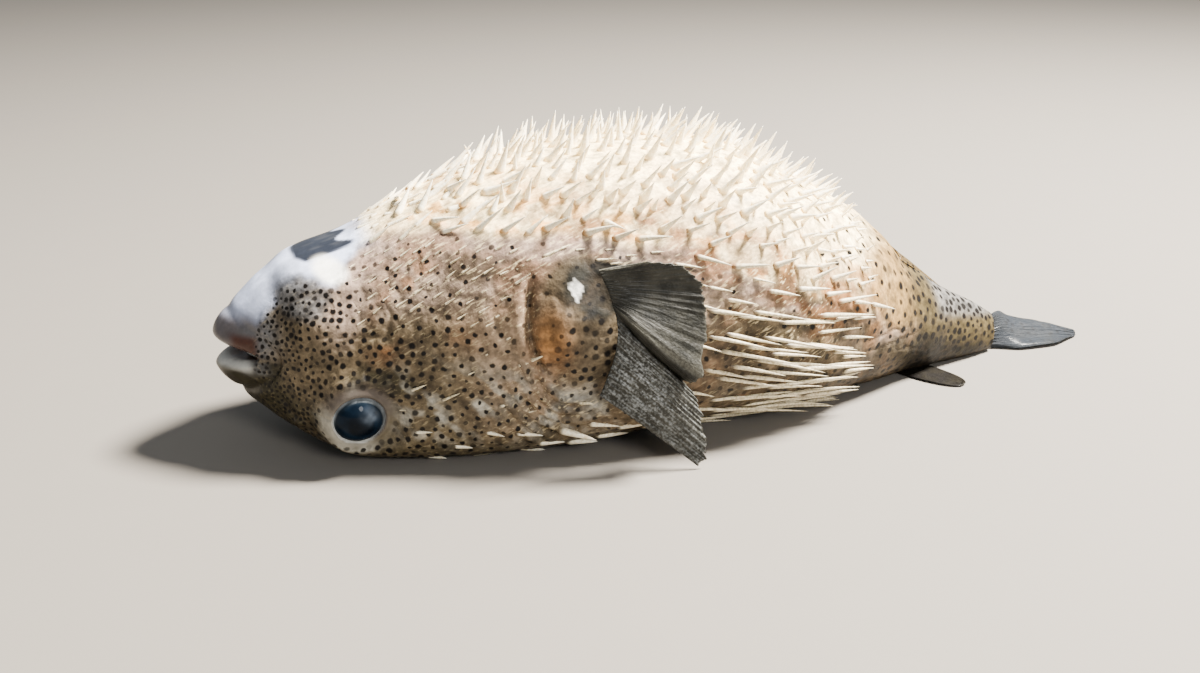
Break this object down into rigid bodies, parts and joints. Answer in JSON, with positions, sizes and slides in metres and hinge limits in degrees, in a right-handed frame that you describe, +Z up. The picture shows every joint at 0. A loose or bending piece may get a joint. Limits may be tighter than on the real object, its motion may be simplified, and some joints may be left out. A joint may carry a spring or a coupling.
{
  "type": "porcupinefish",
  "caption": "Life-size spotted porcupinefish lying on its back, belly partly puffed up and covered in spines, fins folded.",
  "frame": {"origin": "centre of the bounding box's underside, on the floor that the fish's back rests on", "axes": "+X from snout to tail, +Y to the fish's left, +Z up, towards its belly"},
  "size_m": [0.4591, 0.1798, 0.141],
  "materials": {
    "skin": "damp skin, tan to olive-brown with small dark spots",
    "belly": "damp pale skin, cream with pink and orange tints",
    "lip": "smooth mauve-grey skin",
    "fin": "dark, wet, rayed membrane",
    "eye": "glossy, dark blue-black",
    "ivory": "smooth ivory, for beak and spines"
  },
  "bodies": {
    "root": {"head": "skin", "trunk": "belly", "tail_stalk": "skin", "pectoral_base_left": "skin", "pectoral_base_right": "skin", "lip_lower": "lip", "lip_upper": "lip", "beak_lower": "ivory", "beak_upper": "ivory", "eye_left": "eye", "eye_right": "eye", "pectoral_fin_left": "fin", "pectoral_fin_right": "fin", "dorsal_fin": "fin", "anal_fin": "fin", "caudal_fin": "fin"}
  },
  "joints": []
}
